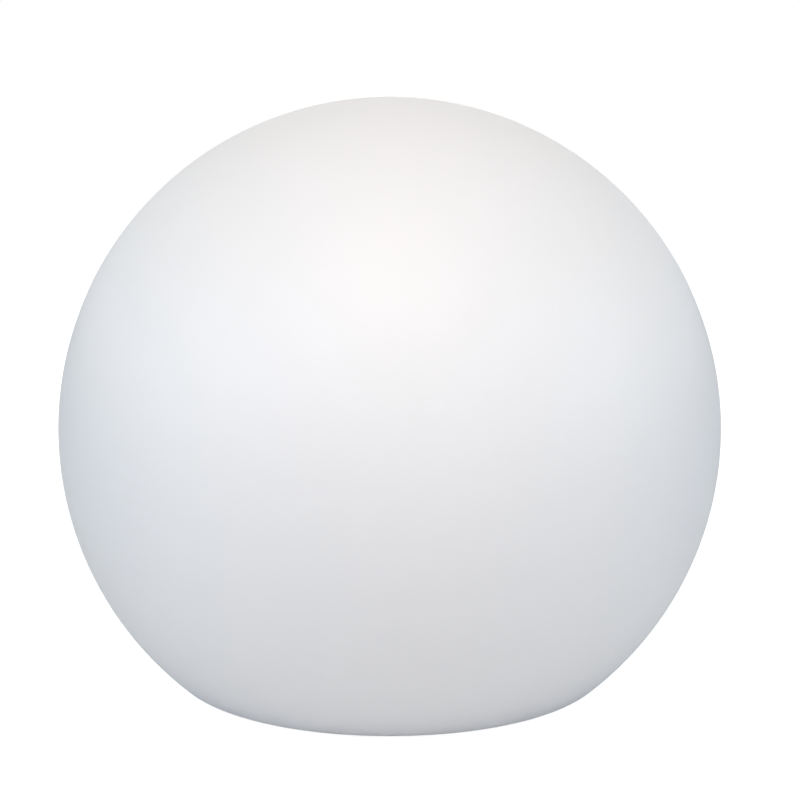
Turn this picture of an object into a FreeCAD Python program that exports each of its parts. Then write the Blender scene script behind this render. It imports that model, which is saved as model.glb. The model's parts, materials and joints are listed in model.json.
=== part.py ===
"""Garden globe light: a flat-based moulded globe that screws down over a rechargeable lamp unit.

Millimetres, +Z up, origin on the ground under the middle of the lamp. The camera side is -Y.
The lamp unit stands on four rubber feet. Its housing has a four-start outside thread, and the globe
has a collar with the matching inside thread, so the globe turns anticlockwise and rises off the unit.
"""

import FreeCAD
import Part
import math
import os

V = FreeCAD.Vector
UP = V(0, 0, 1)
DOWN = V(0, 0, -1)

# Globe moulding
globe_diameter = 400.0
globe_height = 355.0
ground_gap = 1.5
shell_wall = 3.5
base_flat_radius = 119.06
base_edge_radius = 20.0
well_edge_radius = 5.0
well_corner_radius = 4.0

# Screw thread between the housing and the collar
thread_starts = 4
thread_lead = 24.0
rib_height = 3.0
rib_root_width = 3.0
rib_crest_width = 1.8
rib_span_deg = 64.0
rib_fade_deg = 9.0
rib_fade_share = 0.25
rib_flank_gap = 0.4
rib_lift = 3.6

# Collar, its gasket, screws and moulded-in inserts
collar_flange_thickness = 5.0
collar_edge_gap = 1.0
collar_lead_in = 1.2
collar_neck_rise = 9.5
collar_neck_wall = 4.0
collar_neck_gap = 0.8
collar_gasket_thickness = 1.5
gasket_inset = 1.0
collar_screw_count = 6
collar_screw_inset = 6.4
collar_rim_width = 8.0
bore_gap = 4.0
boss_draft = 0.8
insert_radius = 3.6
insert_length = 8.0
insert_cover = 3.2
insert_waist_depth = 0.6
insert_floor = 1.0
screw_tip_gap = 1.0
seal_inset = 4.4
seal_width = 4.2
seal_height = 2.6
seal_gap = 1.0
seal_slack = 0.1
seal_side_gap = 0.25

# Lamp housing
cup_radius = 52.0
cup_wall = 2.8
root_sink = 0.5
cover_screw_web = 0.3
disc_gap = 3.0
disc_flange_thickness = 2.8
skirt_height = 9.5
skirt_wall = 2.8
flange_edge = 1.5
housing_rib_count = 12
housing_rib_width = 1.6
housing_rib_depth = 3.0
column_count = 6
column_radius = 3.8
column_inset = 3.7
deck_ledge_width = 2.8
deck_ledge_height = 2.0
dome_screw_bite = 8.0
cradle_screw_bite = 9.0

# Base cover
foot_stand = 3.0
cover_thickness = 3.5
cover_recess_radius = 42.0
cover_recess_depth = 0.8
cover_lip_height = 3.0
cover_lip_wall = 2.4
cover_lip_gap = 0.3
cover_seal_section = 1.5
cover_seal_squeeze = 0.15
cover_groove_gap = 0.1
cover_screw_count = 6
cover_screw_inset = 9.2
cover_boss_radius = 3.8
cover_edge = 1.0
foot_radius = 8.0
foot_inset = 1.5
foot_ring_inset = 15.2
foot_count = 4
foot_gap = 0.2
foot_screw_cover = 1.0
foot_boss_wall = 1.5
foot_edge_radius = 1.2

# Screws: shank radius, head radius, head height; the same sizes set every hole for them
small_screw = (0.9, 2.2, 1.5)
medium_screw = (1.25, 2.8, 1.9)
large_screw = (2.0, 3.9, 2.4)
hole_gap = 0.4
pilot_gap = 0.05
head_gap = 0.4
head_sink = 0.2

# Control board and what stands on it
board_length = 66.0
board_width = 50.0
board_thickness = 1.6
board_height = 7.5
board_corner = 5.0
board_screw_inset = 4.2
post_radius = 3.0
board_screw_bite = 4.0

# Chips on the board: x, y of the corner, length, width, height; cans: x, y, radius, height
board_chips = (
    (-12.0, -8.0, 10.0, 10.0, 1.6),
    (8.0, -14.0, 6.0, 5.0, 1.5),
    (-19.0, 8.0, 4.0, 5.0, 1.5),
)
board_cans = (
    (-12.0, -17.0, 4.0, 8.0),
    (0.0, -17.0, 4.0, 8.0),
    (18.0, 13.0, 2.5, 5.5),
)
board_coil = (-1.0, 6.0, 8.0, 8.0, 4.2)
board_coil_edge = 1.5

# Power button and its switch
button_x = -20.0
button_radius = 6.2
button_flange_radius = 8.2
button_flange_thickness = 1.3
button_gap = 0.2
button_sink = 0.4
button_stem_radius = 2.0
button_travel = 0.8
button_dish_depth = 0.5
button_edge = 0.5
button_seat_gap = 0.05
port_wall = 1.6
switch_size = 6.2
switch_height = 3.6
switch_cap_radius = 1.75
switch_cap_length = 1.6
switch_cap_gap = 0.1
switch_cap_float = 0.4

# Charging socket and its plug cover
jack_x = 15.0
jack_radius = 5.0
jack_bore_radius = 3.2
jack_wall = 1.2
jack_rise = 3.0
jack_flange_width = 1.2
jack_flange_thickness = 1.0
jack_gap = 0.1
jack_pin_radius = 1.0
jack_pin_root_radius = 1.5
jack_pin_recess = 0.8
jack_mouth_gap = 0.7
jack_mouth_edge = 0.5
jack_seat_depth = 2.0
port_radius = 4.6
plug_radius = 7.0
plug_thickness = 1.6
plug_boss_radius = 4.1
plug_boss_height = 2.0
plug_boss_draft = 0.3
plug_pocket_gap = 0.4
plug_tab_length = 2.0
plug_tab_width = 5.0
hinge_reach = 12.5
hinge_bead_radius = 0.8
hinge_gap = 0.15
strap_width = 6.0
strap_relief = 0.3
anchor_length = 6.0
anchor_stem_radius = 1.6
anchor_head_radius = 2.3
anchor_head_height = 1.6

# Status light pipe
pipe_x = -4.5
pipe_radius = 1.5
pipe_flange_radius = 2.6
pipe_flange_height = 1.0
pipe_gap = 0.05
pipe_tip_rise = 0.2
pipe_tip_height = 0.8
pipe_top_gap = 1.2
indicator_block = (3.2, 1.6, 0.9)

# Battery pack
cell_count = 3
cell_diameter = 18.4
cell_length = 65.0
cell_gap = 0.5
cell_cap_radius = 3.0
cell_cap_height = 0.8
cell_edge = 0.8
cell_seat_gap = 0.2
tab_thickness = 0.3
tab_width = 8.0
cradle_clear = 10.4
cradle_plate = 2.0
cradle_rib_count = 5
cradle_rib_width = 2.0
cradle_depth = 8.0
cradle_margin = 1.6
cradle_ear_radius = 5.0
cradle_cup_gap = 0.3
cradle_end_gap = 0.3
cradle_end_space = 2.0
cradle_ear_root = 2.0
cradle_wall_gap = 0.5
strap_steel = 1.2
strap_band = 9.0
strap_gap = 0.2
strap_leg_gap = 0.3
strap_bend = 3.0

# Wires
wire_radius = 0.7
wire_bend = 3.5
wire_headroom = 5.0
wire_pitch = 1.5
wire_count = 4
lead_stand_off = 4.5
lead_y = -9.0
led_lead_y = 35.5
plug_block = (10.0, 5.5, 5.0)
lead_block = (6.0, 7.0, 5.0)
plug_block_inset = 2.0
lead_block_inset = 1.0

# Heat sink, lamp board and dome
fin_height = 5.0
fin_width = 1.5
fin_count = 11
fin_clear = 5.0
sink_plate = 2.5
sink_gap = 0.4
wire_hole_radius = 4.6
fin_edge_gap = 2.0
pad_thickness = 0.5
pad_inset = 1.0
lamp_board_gap = 2.8
lamp_board_thickness = 1.6
lamp_size = 5.0
lamp_height = 1.6
lamp_lens_radius = 1.9
lamp_lens_rise = 0.2
lamp_inner_count = 6
lamp_inner_ring = 13.0
lamp_outer_count = 12
lamp_rim_width = 7.0
lamp_plug_height = 2.2
lamp_plug_overlap = 1.2
lamp_plug_edge = 0.6
lamp_screw_count = 3
dome_seal_thickness = 1.5
dome_seal_gap = 2.0
dome_column_inset = 7.0
dome_wall = 2.2
dome_flange_thickness = 2.4
dome_fillet = 1.5
ring_thickness = 3.5
ring_gap = 0.5
rim_gap = 0.2
ring_edge = 1.2

# Levels, from the ground up
land_z = ground_gap
cover_z = foot_stand
cover_top = cover_z + cover_thickness
flange_top = cover_top + skirt_height
flange_bottom = flange_top - disc_flange_thickness
collar_z = flange_top + seal_gap
collar_flange_top = collar_z + collar_flange_thickness
ceiling_z = collar_flange_top + collar_gasket_thickness
neck_top = collar_flange_top + collar_neck_rise
board_z = cover_top + board_height
board_top = board_z + board_thickness
cradle_z = board_top + cradle_clear
cradle_top = cradle_z + cradle_plate
cell_z = cradle_top + cell_seat_gap + cell_diameter / 2
strap_z = cell_z + cell_diameter / 2 + strap_gap
wire_z = strap_z + strap_steel + wire_headroom
deck_z = wire_z + fin_clear + fin_height
sink_top = deck_z + sink_plate
lamp_board_z = sink_top + pad_thickness
lamp_z = lamp_board_z + lamp_board_thickness
dome_flange_z = sink_top + dome_seal_thickness
ring_z = dome_flange_z + dome_flange_thickness
ring_top = ring_z + ring_thickness

# The globe's outline: a half sphere on a flank that meets the base's edge at a tangent
globe_radius = globe_diameter / 2
globe_centre_z = land_z + globe_height - globe_radius
flank_reach = globe_radius - base_flat_radius
flank_drop = globe_centre_z - land_z - base_edge_radius
flank_square = flank_reach ** 2 + flank_drop ** 2 - base_edge_radius ** 2
flank_radius = flank_square / (flank_reach - base_edge_radius) / 2

# Radii from the cup outwards: bore, neck, seal, screws, flange, well, skirt and feet
bore_radius = cup_radius + bore_gap
neck_radius = bore_radius + collar_neck_wall
shell_hole_radius = neck_radius + collar_neck_gap
seal_inner_radius = bore_radius + seal_inset
seal_outer_radius = seal_inner_radius + seal_width
collar_screw_circle = seal_outer_radius + collar_screw_inset
collar_flange_radius = collar_screw_circle + collar_rim_width
well_radius = collar_flange_radius + collar_edge_gap + well_corner_radius
disc_radius = well_radius - disc_gap
skirt_inner_radius = disc_radius - skirt_wall
lip_radius = skirt_inner_radius - cover_lip_gap
cover_screw_circle = skirt_inner_radius - cover_screw_inset
foot_circle = skirt_inner_radius - foot_ring_inset

# Radii from the cup inwards: columns, heat sink, dome, lamp board and its rings
cup_inner_radius = cup_radius - cup_wall
column_circle = cup_inner_radius - column_inset
sink_radius = cup_inner_radius - sink_gap
dome_radius = column_circle - dome_column_inset
dome_inner_radius = dome_radius - dome_wall
lamp_board_radius = dome_inner_radius - lamp_board_gap
lamp_outer_ring = lamp_board_radius - lamp_rim_width
lamp_screw_circle = (lamp_inner_ring + lamp_outer_ring) / 2


def ring(outer, inner, z0, z1):
    """A flat ring round Z."""
    body = Part.makeCylinder(outer, z1 - z0, V(0, 0, z0))
    return body.cut(Part.makeCylinder(inner, z1 - z0, V(0, 0, z0)))


def rod(radius, x, y, z0, z1):
    """An upright cylinder."""
    return Part.makeCylinder(radius, z1 - z0, V(x, y, z0))


def block(x0, x1, y0, y1, z0, z1):
    """A box from its lowest to its highest corner."""
    return Part.makeBox(x1 - x0, y1 - y0, z1 - z0, V(x0, y0, z0))


def spin(edges):
    """A closed outline in the XZ plane, turned once round Z."""
    return Part.Face(Part.Wire(edges)).revolve(V(), UP, 360)


def polygon(points):
    """The straight edges of a closed outline, given as (radius, height) pairs."""
    corners = [V(r, 0, z) for r, z in points]
    return [Part.makeLine(a, b) for a, b in zip(corners, corners[1:] + corners[:1])]


def arc(centre, radius, start_deg, end_deg):
    """An arc in the XZ plane from one angle to another, measured from +X towards +Z."""
    def at(deg):
        turn = math.radians(deg)
        return V(centre[0] + radius * math.cos(turn), 0, centre[1] + radius * math.sin(turn))

    return Part.Arc(at(start_deg), at((start_deg + end_deg) / 2), at(end_deg)).toShape()


def joined(edges):
    """The edges with a straight line put in wherever one doesn't start at the last one's end."""
    chain = []
    for edge in edges:
        if chain:
            last = chain[-1].lastVertex(True).Point
            first = edge.firstVertex(True).Point
            if last.distanceToPoint(first) > 1e-6:
                chain.append(Part.makeLine(last, first))
        chain.append(edge)
    last = chain[-1].lastVertex(True).Point
    first = chain[0].firstVertex(True).Point
    chain.append(Part.makeLine(last, first))
    return chain


def spots(count, radius, start_deg=0.0):
    """Points evenly spaced on a circle round Z, as (x, y, angle in degrees)."""
    turns = [start_deg + 360.0 * k / count for k in range(count)]
    return [(radius * math.cos(math.radians(t)), radius * math.sin(math.radians(t)), t) for t in turns]


def upright_edges(body):
    """The body's edges that run along Z."""
    return [e for e in body.Edges if abs(e.tangentAt(e.FirstParameter).z) > 0.99]


def fused(shapes):
    """One solid from several that touch, with the seams between them removed."""
    body = shapes[0].multiFuse(shapes[1:]) if len(shapes) > 1 else shapes[0]
    return body.removeSplitter()


def without(body, tools):
    """The body with every tool cut away."""
    return body.cut(Part.makeCompound(tools))


def screw(size, x, y, seat_z, length, up=True):
    """A pan-head screw with a cross recess. Its head lies under seat_z if it points up, else above it."""
    shank_radius, head_radius, head_height = size
    head = Part.makeCylinder(head_radius, head_height)
    rim = [e for e in head.Edges if abs(e.CenterOfMass.z) < 1e-6 and len(e.Vertexes) == 1]
    head = head.makeFillet(head_height * 0.35, rim)
    slot = shank_radius * 0.45
    arm = head_radius * 0.55
    depth = head_height * 0.5
    head = head.cut(block(-arm, arm, -slot / 2, slot / 2, 0, depth))
    head = head.cut(block(-slot / 2, slot / 2, -arm, arm, 0, depth))
    body = head.fuse(Part.makeCylinder(shank_radius, length, V(0, 0, head_height))).removeSplitter()
    body.translate(V(0, 0, -head_height))
    if not up:
        body.rotate(V(), V(1, 0, 0), 180)
    body.translate(V(x, y, seat_z))
    return body


def pilot(size):
    """The radius of the hole that a screw bites into."""
    return size[0] + pilot_gap


def clear_hole(size):
    """The radius of the hole that a screw's shank passes through."""
    return size[0] + hole_gap


def head_hole(size):
    """The radius of the recess round a screw's head."""
    return size[1] + head_gap


def globe_curve(inset):
    """The globe's outline, pole to neck hole, moved into the wall by inset."""
    edge = (base_flat_radius, land_z + base_edge_radius)
    flank = (globe_radius - flank_radius, globe_centre_z)
    edge_deg = math.degrees(math.atan2(edge[1] - flank[1], edge[0] - flank[0]))
    lip = (well_radius + well_edge_radius, land_z + well_edge_radius)
    corner = (well_radius - well_corner_radius, ceiling_z - well_corner_radius)
    return joined([
        arc((0, globe_centre_z), globe_radius - inset, 90, 0),
        arc(flank, flank_radius - inset, 0, edge_deg).toNurbs().Edges[0],
        arc(edge, base_edge_radius - inset, edge_deg, -90),
        arc(lip, well_edge_radius - inset, 270, 180),
        arc(corner, well_corner_radius + inset, 0, 90),
        Part.makeLine(V(corner[0], 0, ceiling_z + inset), V(shell_hole_radius, 0, ceiling_z + inset)),
    ])[:-1]


def make_globe_shell():
    """The rotation-moulded globe: one wall, with a well in its flat base and bosses over the inserts."""
    outside = globe_curve(0)
    inside = globe_curve(shell_wall)
    pole = Part.makeLine(inside[0].firstVertex(True).Point, outside[0].firstVertex(True).Point)
    hole = Part.makeLine(outside[-1].lastVertex(True).Point, inside[-1].lastVertex(True).Point)
    shell = spin([pole] + outside + [hole] + inside)
    boss_top = ceiling_z + insert_length + insert_cover
    bosses, holes = [], []
    for x, y, _ in spots(collar_screw_count, collar_screw_circle):
        boss = Part.makeCone(insert_radius + insert_cover + boss_draft, insert_radius + insert_cover,
                             boss_top - ceiling_z - shell_wall / 2, V(x, y, ceiling_z + shell_wall / 2))
        rim = [e for e in boss.Edges if abs(e.CenterOfMass.z - boss_top) < 1e-6]
        bosses.append(boss.makeFillet(insert_cover / 2, rim))
        holes.append(rod(insert_radius, x, y, ceiling_z, ceiling_z + insert_length))
    return without(fused([shell] + bosses), holes)


def make_collar_inserts():
    """Brass inserts moulded into the globe's bosses, each grooved round its waist and tapped blind."""
    inserts = []
    for x, y, _ in spots(collar_screw_count, collar_screw_circle):
        body = rod(insert_radius, x, y, ceiling_z, ceiling_z + insert_length)
        low, high = ceiling_z + insert_length * 0.4, ceiling_z + insert_length * 0.6
        core = rod(insert_radius - insert_waist_depth, x, y, low, high)
        waist = rod(insert_radius, x, y, low, high).cut(core)
        thread = rod(pilot(large_screw), x, y, ceiling_z, ceiling_z + insert_length - insert_floor)
        inserts.append(without(body, [waist, thread]))
    return Part.makeCompound(inserts)


def rib_section(angle_deg, root_radius, outwards, z, share):
    """One cross-section of a thread rib, standing in the plane that holds Z and the angle."""
    sink = 0.3
    sign = 1 if outwards else -1
    crest = root_radius + sign * rib_height * share
    root = root_radius - sign * sink
    low, high = rib_root_width / 2, rib_crest_width / 2
    turn = math.radians(angle_deg)
    corners = [(root, -low), (crest, -high), (crest, high), (root, low)]
    points = [V(r * math.cos(turn), r * math.sin(turn), z + dz) for r, dz in corners]
    return Part.makePolygon(points + points[:1])


def thread_rib(start_deg, root_radius, outwards, z):
    """One rib of the thread: it fades in, climbs at the thread's lead and fades out."""
    steps = 8
    turns = [rib_span_deg * k / steps for k in range(steps + 1)]
    stations = [(-rib_fade_deg, rib_fade_share)] + [(t, 1.0) for t in turns]
    stations.append((rib_span_deg + rib_fade_deg, rib_fade_share))
    sections = [
        rib_section(start_deg + turn, root_radius, outwards, z + thread_lead * turn / 360, share)
        for turn, share in stations
    ]
    return Part.makeLoft(sections, True, True)


def thread_ribs(root_radius, outwards, z):
    """The ribs of every start, evenly spaced round the axis."""
    return [thread_rib(360.0 * k / thread_starts, root_radius, outwards, z) for k in range(thread_starts)]


def rib_offset():
    """How far a collar rib lies under the housing rib that holds it down."""
    slope = (rib_root_width - rib_crest_width) / 2 / rib_height
    half_widths = (rib_root_width + rib_crest_width) / 2
    return half_widths + slope * (rib_height - bore_gap) + rib_flank_gap


def make_threaded_collar():
    """The collar screwed under the globe's well: a flange, a neck through the hole and an inside thread."""
    body = spin(polygon([
        (bore_radius + collar_lead_in, collar_z), (collar_flange_radius, collar_z),
        (collar_flange_radius, collar_flange_top), (neck_radius, collar_flange_top),
        (neck_radius, neck_top - collar_lead_in), (neck_radius - collar_lead_in, neck_top),
        (bore_radius, neck_top), (bore_radius, collar_z + collar_lead_in),
    ]))
    body = fused([body] + thread_ribs(bore_radius, False, collar_z + rib_lift))
    groove_top = collar_z + seal_height - seal_gap
    cuts = [ring(seal_outer_radius + seal_side_gap, seal_inner_radius - seal_side_gap, collar_z, groove_top)]
    for x, y, _ in spots(collar_screw_count, collar_screw_circle):
        cuts.append(rod(clear_hole(large_screw), x, y, collar_z, collar_flange_top))
        cuts.append(rod(head_hole(large_screw), x, y, collar_z, collar_screw_seat()))
    return without(body, cuts)


def collar_screw_seat():
    """The level of the shoulder under the collar screws' heads."""
    return collar_z + large_screw[2] + head_sink


def make_collar_gasket():
    """The flat gasket between the collar's flange and the globe."""
    body = ring(collar_flange_radius - gasket_inset, shell_hole_radius, collar_flange_top, ceiling_z)
    holes = [
        rod(clear_hole(large_screw), x, y, collar_flange_top, ceiling_z)
        for x, y, _ in spots(collar_screw_count, collar_screw_circle)
    ]
    return without(body, holes)


def make_collar_screws():
    """The screws that hold the collar to the globe's inserts."""
    seat = collar_screw_seat()
    length = ceiling_z + insert_length - insert_floor - screw_tip_gap - seat
    return Part.makeCompound([
        screw(large_screw, x, y, seat, length) for x, y, _ in spots(collar_screw_count, collar_screw_circle)
    ])


def make_globe_seal():
    """The ring seal in the collar's groove, with two soft lips that meet the housing's flange."""
    inner, outer = seal_inner_radius, seal_outer_radius
    low = collar_z - seal_gap + seal_slack
    high = collar_z + seal_height - seal_gap - seal_slack
    lip = seal_width / 4
    return spin(joined([
        Part.makeLine(V(inner, 0, high), V(inner, 0, low + lip)),
        arc((inner + lip, low + lip), lip, 180, 360),
        arc((outer - lip, low + lip), lip, 180, 360),
        Part.makeLine(V(outer, 0, low + lip), V(outer, 0, high)),
    ]))


def make_lamp_housing():
    """The housing: a flanged disc with a skirt, and the threaded cup that holds the battery and lamp."""
    rim_top = ring_z - rim_gap
    shell = spin(polygon([
        (cup_inner_radius, flange_bottom), (skirt_inner_radius, flange_bottom),
        (skirt_inner_radius, cover_top), (disc_radius, cover_top), (disc_radius, flange_top - flange_edge),
        (disc_radius - flange_edge, flange_top), (cup_radius, flange_top), (cup_radius, rim_top),
        (cup_inner_radius, rim_top),
    ]))
    ledge = ring(cup_inner_radius + root_sink, cup_inner_radius - deck_ledge_width,
                 deck_z - deck_ledge_height, deck_z)
    parts = [shell, ledge]
    parts += thread_ribs(cup_radius, True, collar_z + rib_lift + rib_offset())
    for _, _, turn in spots(housing_rib_count, 1.0, 180.0 / housing_rib_count):
        rib = block(cup_radius - root_sink, skirt_inner_radius + root_sink,
                    -housing_rib_width / 2, housing_rib_width / 2,
                    flange_bottom - housing_rib_depth, flange_bottom + root_sink)
        rib.rotate(V(), UP, turn)
        parts.append(rib)
    for x, y, _ in spots(cover_screw_count, cover_screw_circle):
        parts.append(rod(cover_boss_radius, x, y, cover_top, flange_bottom + root_sink))
    trim = Part.makeCylinder(cup_inner_radius + root_sink, ring_top)
    for x, y, _ in spots(column_count, column_circle):
        parts.append(rod(column_radius, x, y, column_foot(y), deck_z).common(trim))
    return without(fused(parts), housing_holes())


def column_foot(y):
    """Where a column starts: on the battery straps beside the pack, and above the wires at its ends."""
    beside_pack = abs(y) > pack_width() / 2
    return cradle_top + strap_steel if beside_pack else strap_z + strap_steel


def housing_holes():
    """Pilot holes for the cover screws, the cradle screws and the dome screws."""
    holes = []
    for x, y, _ in spots(cover_screw_count, cover_screw_circle):
        holes.append(rod(pilot(medium_screw), x, y, cover_top, flange_bottom - cover_screw_web))
    for x, y, _ in spots(column_count, column_circle):
        holes.append(rod(pilot(medium_screw), x, y, deck_z - dome_screw_bite, deck_z))
    for x, y in cradle_spots():
        holes.append(rod(pilot(medium_screw), x, y, cradle_top, cradle_top + strap_steel + cradle_screw_bite))
    return holes


def cradle_spots():
    """The columns beside the battery pack, which carry the cradle and its straps."""
    return [(x, y) for x, y, _ in spots(column_count, column_circle) if abs(y) > pack_width() / 2]


def foot_spots():
    """Where the feet sit on the cover."""
    return spots(foot_count, foot_circle, 45.0)


def board_posts():
    """Where the posts under the control board stand."""
    x = board_length / 2 - board_screw_inset
    y = board_width / 2 - board_screw_inset
    return [(x, y), (-x, y), (-x, -y), (x, -y)]


def port_floor():
    """The level of the cover's recessed underside, where the button and the plug cover are."""
    return cover_z + cover_recess_depth


def make_base_cover():
    """The cover under the housing, with its lip, posts and the openings for button, socket and light pipe."""
    body = spin(polygon([
        (0, port_floor()), (cover_recess_radius, port_floor()),
        (cover_recess_radius + cover_recess_depth, cover_z),
        (disc_radius - cover_edge, cover_z), (disc_radius, cover_z + cover_edge), (disc_radius, cover_top),
        (lip_radius, cover_top), (lip_radius, cover_top + cover_lip_height),
        (lip_radius - cover_lip_wall, cover_top + cover_lip_height), (lip_radius - cover_lip_wall, cover_top),
        (0, cover_top),
    ]))
    pocket_top = cover_z + foot_inset
    parts = [body]
    sunk = cover_top - root_sink
    parts += [
        rod(foot_radius + foot_boss_wall, x, y, sunk, cover_top + foot_inset) for x, y, _ in foot_spots()
    ]
    parts += [rod(post_radius, x, y, sunk, board_z) for x, y in board_posts()]
    parts.append(rod(jack_radius + port_wall, jack_x, 0, sunk, jack_mouth_z() + jack_seat_depth))
    parts.append(rod(button_flange_radius + port_wall, button_x, 0, sunk, button_top() + button_travel / 2))
    cuts = [rod(foot_radius + foot_gap, x, y, cover_z, pocket_top) for x, y, _ in foot_spots()]
    for x, y, _ in foot_spots():
        cuts.append(rod(clear_hole(small_screw), x, y, pocket_top, cover_top + foot_inset))
    for x, y in board_posts():
        cuts.append(rod(pilot(small_screw), x, y, cover_top, board_z))
    for x, y, _ in spots(cover_screw_count, cover_screw_circle):
        cuts.append(rod(clear_hole(medium_screw), x, y, cover_z, cover_top))
        cuts.append(rod(head_hole(medium_screw), x, y, cover_z, cover_screw_seat()))
    groove_z = cover_top + (cover_lip_height - cover_seal_section) / 2
    cuts.append(ring(lip_radius, lip_radius - cover_seal_section + cover_groove_gap,
                     groove_z - cover_groove_gap, groove_z + cover_seal_section + cover_groove_gap))
    return without(without(fused(parts), cuts), port_cuts())


def cover_screw_seat():
    """The level of the shoulder under the cover screws' heads."""
    return cover_z + medium_screw[2] + head_sink


def jack_mouth_z():
    """The level of the charging socket's mouth."""
    return port_floor() + plug_boss_height + jack_mouth_gap


def button_shoulder():
    """The level of the ledge that keeps the button in the cover."""
    return cover_top - button_flange_thickness


def button_top():
    """The top of the button's flange at rest."""
    return cover_top + button_travel * 0.5


def port_cuts():
    """The openings in the cover for the button, the socket, the plug cover's pocket and the light pipe."""
    floor = port_floor()
    pocket = plug_outline(plug_pocket_gap)
    pocket.translate(V(0, 0, floor))
    pipe_ledge = cover_top - pipe_flange_height
    return [
        pocket.extrude(V(0, 0, plug_depth())),
        rod(button_radius + button_gap, button_x, 0, floor, cover_top),
        rod(button_flange_radius + button_gap, button_x, 0,
            button_shoulder(), button_top() + 2 * button_travel),
        rod(port_radius, jack_x, 0, floor, jack_mouth_z()),
        rod(jack_radius + jack_gap, jack_x, 0, jack_mouth_z(), jack_mouth_z() + jack_seat_depth),
        rod(anchor_stem_radius, anchor_x(), 0, floor, cover_top),
        rod(pipe_radius + pipe_gap, pipe_x, 0, floor, cover_top),
        rod(pipe_flange_radius + pipe_gap, pipe_x, 0, pipe_ledge, cover_top),
    ]


def plug_depth():
    """How deep the plug cover's pocket is."""
    return plug_thickness * 0.5


def hinge_x():
    """Where the plug cover's hinge line crosses the X axis."""
    return jack_x + hinge_reach


def anchor_x():
    """The middle of the plug cover's anchor."""
    return hinge_x() + hinge_bead_radius + anchor_length / 2


def plug_outline(grow):
    """The plan of the plug cover and its anchor, grown by a gap: a round end and a straight strap."""
    round_end = Part.Face(Part.Wire(Part.makeCircle(plug_radius + grow, V(jack_x, 0, 0), UP)))
    end_x = anchor_x() + anchor_length / 2 + grow
    half = strap_width / 2 + grow
    strap = Part.Face(Part.makePolygon([
        V(jack_x, -half, 0), V(end_x, -half, 0), V(end_x, half, 0), V(jack_x, half, 0), V(jack_x, -half, 0),
    ]))
    return round_end.fuse(strap).removeSplitter()


def plug_face_z():
    """The underside of the plug cover at rest."""
    return port_floor() + plug_depth() - plug_thickness


def hinge_z():
    """The height of the plug cover's hinge line."""
    return plug_face_z() + plug_thickness / 2


def make_charge_plug():
    """The soft plug cover: a round cap with a pull rim, a boss that fills the port and half the strap."""
    low = plug_face_z()
    high = low + plug_thickness
    cap = rod(plug_radius, jack_x, 0, low, high)
    rim = [e for e in cap.Edges if abs(e.CenterOfMass.z - low) < 1e-6]
    cap = cap.makeFillet(plug_thickness * 0.3, rim)
    boss = Part.makeCone(plug_boss_radius, plug_boss_radius - plug_boss_draft,
                         plug_boss_height - plug_depth(), V(jack_x, 0, high))
    side = strap_width / 2
    strap = block(jack_x, hinge_x(), -side, side, low + strap_relief, high - strap_relief)
    bead = Part.makeCylinder(hinge_bead_radius, strap_width, V(hinge_x(), -side, hinge_z()), V(0, 1, 0))
    rim_x = jack_x - plug_radius
    tab = block(rim_x - plug_tab_length, rim_x + plug_tab_length, -plug_tab_width / 2, plug_tab_width / 2,
                low, low + plug_thickness * 0.5)
    return fused([cap, boss, strap, bead, tab])


def make_plug_anchor():
    """The fixed end of the plug cover's strap, held by a barbed stem through the base cover."""
    low = plug_face_z()
    high = low + plug_thickness
    end_x = anchor_x() + anchor_length / 2
    side = strap_width / 2
    foot = block(hinge_x(), end_x, -side, side, low, high)
    seat = Part.makeCylinder(hinge_bead_radius + hinge_gap, strap_width,
                             V(hinge_x(), -side, hinge_z()), V(0, 1, 0))
    front = block(hinge_x(), hinge_x() + hinge_bead_radius * 0.9, -side, side, low, high)
    stem = rod(anchor_stem_radius, anchor_x(), 0, high, cover_top)
    head = Part.makeCone(anchor_head_radius, anchor_head_radius / 2, anchor_head_height,
                         V(anchor_x(), 0, cover_top))
    return fused([foot.cut(seat).cut(front), stem, head])


def make_cover_seal():
    """The O-ring round the cover's lip."""
    minor = cover_seal_section / 2
    centre = V(0, 0, cover_top + cover_lip_height / 2)
    return Part.makeTorus(lip_radius - minor + cover_seal_squeeze, minor, centre)


def make_cover_screws():
    """The screws that hold the base cover to the housing."""
    seat = cover_screw_seat()
    length = flange_bottom - screw_tip_gap - seat
    return Part.makeCompound([
        screw(medium_screw, x, y, seat, length) for x, y, _ in spots(cover_screw_count, cover_screw_circle)
    ])


def make_rubber_feet():
    """Four round feet, each dished for the screw that holds it."""
    feet = []
    top = cover_z + foot_inset
    for x, y, _ in foot_spots():
        foot = rod(foot_radius, x, y, 0, top)
        rim = [e for e in foot.Edges if abs(e.CenterOfMass.z) < 1e-6]
        foot = foot.makeFillet(foot_edge_radius, rim)
        dish = rod(head_hole(small_screw), x, y, 0, top - foot_screw_cover)
        hole = rod(clear_hole(small_screw), x, y, 0, top)
        feet.append(without(foot, [dish, hole]))
    return Part.makeCompound(feet)


def make_foot_screws():
    """The screws in the feet, each held by a nut-like boss inside the cover."""
    seat = cover_z + foot_inset - foot_screw_cover
    length = cover_top + foot_inset - seat
    return Part.makeCompound([screw(small_screw, x, y, seat, length) for x, y, _ in foot_spots()])


def make_control_board():
    """The control board on the cover's four posts."""
    half_x, half_y = board_length / 2, board_width / 2
    board = block(-half_x, half_x, -half_y, half_y, board_z, board_top)
    board = board.makeFillet(board_corner, upright_edges(board))
    holes = [rod(clear_hole(small_screw), x, y, board_z, board_top) for x, y in board_posts()]
    holes.append(rod(jack_radius + jack_gap, jack_x, 0, board_z, board_top))
    return without(board, holes)


def make_board_screws():
    """The screws that hold the control board to its posts."""
    return Part.makeCompound([
        screw(small_screw, x, y, board_top, board_thickness + board_screw_bite, up=False)
        for x, y in board_posts()
    ])


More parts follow.
